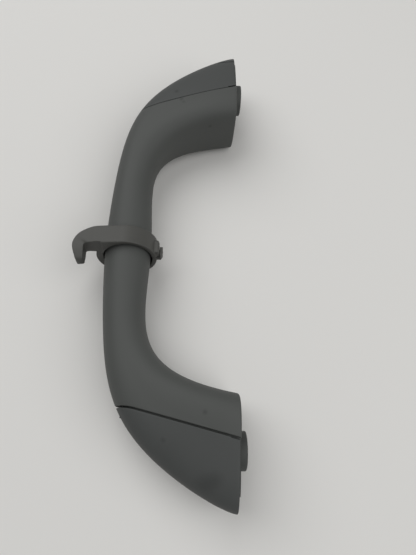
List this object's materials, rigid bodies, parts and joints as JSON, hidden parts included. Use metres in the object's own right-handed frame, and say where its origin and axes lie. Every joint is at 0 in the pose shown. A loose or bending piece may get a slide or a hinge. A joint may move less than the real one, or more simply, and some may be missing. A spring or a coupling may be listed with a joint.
{
  "type": "roof grab handle",
  "caption": "Arched moulded grab handle with two feet, hinged screw flaps, locating spigots and a loose clip-on hook ring on the bar.",
  "frame": {"origin": "midway between the two screw holes, in the plane of the mounting face", "axes": "+X out of the mounting face into the roof, the arch lies towards -X; +Y along the handle; +Z across it, up when the handle lies on its side"},
  "size_m": [0.0796, 0.2288, 0.0348],
  "materials": {
    "handle_plastic": "satin moulded, fine grain",
    "flap_plastic": "satin moulded, fine grain",
    "ring_plastic": "satin moulded, smooth"
  },
  "bodies": {
    "body": {"handle_body": "handle_plastic"},
    "upper_flap": {"flap_top": "flap_plastic"},
    "lower_flap": {"flap_bottom": "flap_plastic"},
    "ring": {"hook_ring": "ring_plastic"}
  },
  "joints": [
    {"name": "upper_flap_hinge", "type": "hinge", "parent": "body", "child": "upper_flap", "pos_m": [-0.00265, 0.11191, 0], "axis": [0, 0, -1], "range_deg": [0, 85]},
    {"name": "lower_flap_hinge", "type": "hinge", "parent": "body", "child": "lower_flap", "pos_m": [-0.00265, -0.11191, 0], "axis": [0, 0, 1], "range_deg": [0, 85]},
    {"name": "ring_slide", "type": "slide", "parent": "body", "child": "ring", "axis": [0, 1, 0], "range_m": [-0.024, 0.024]}
  ]
}
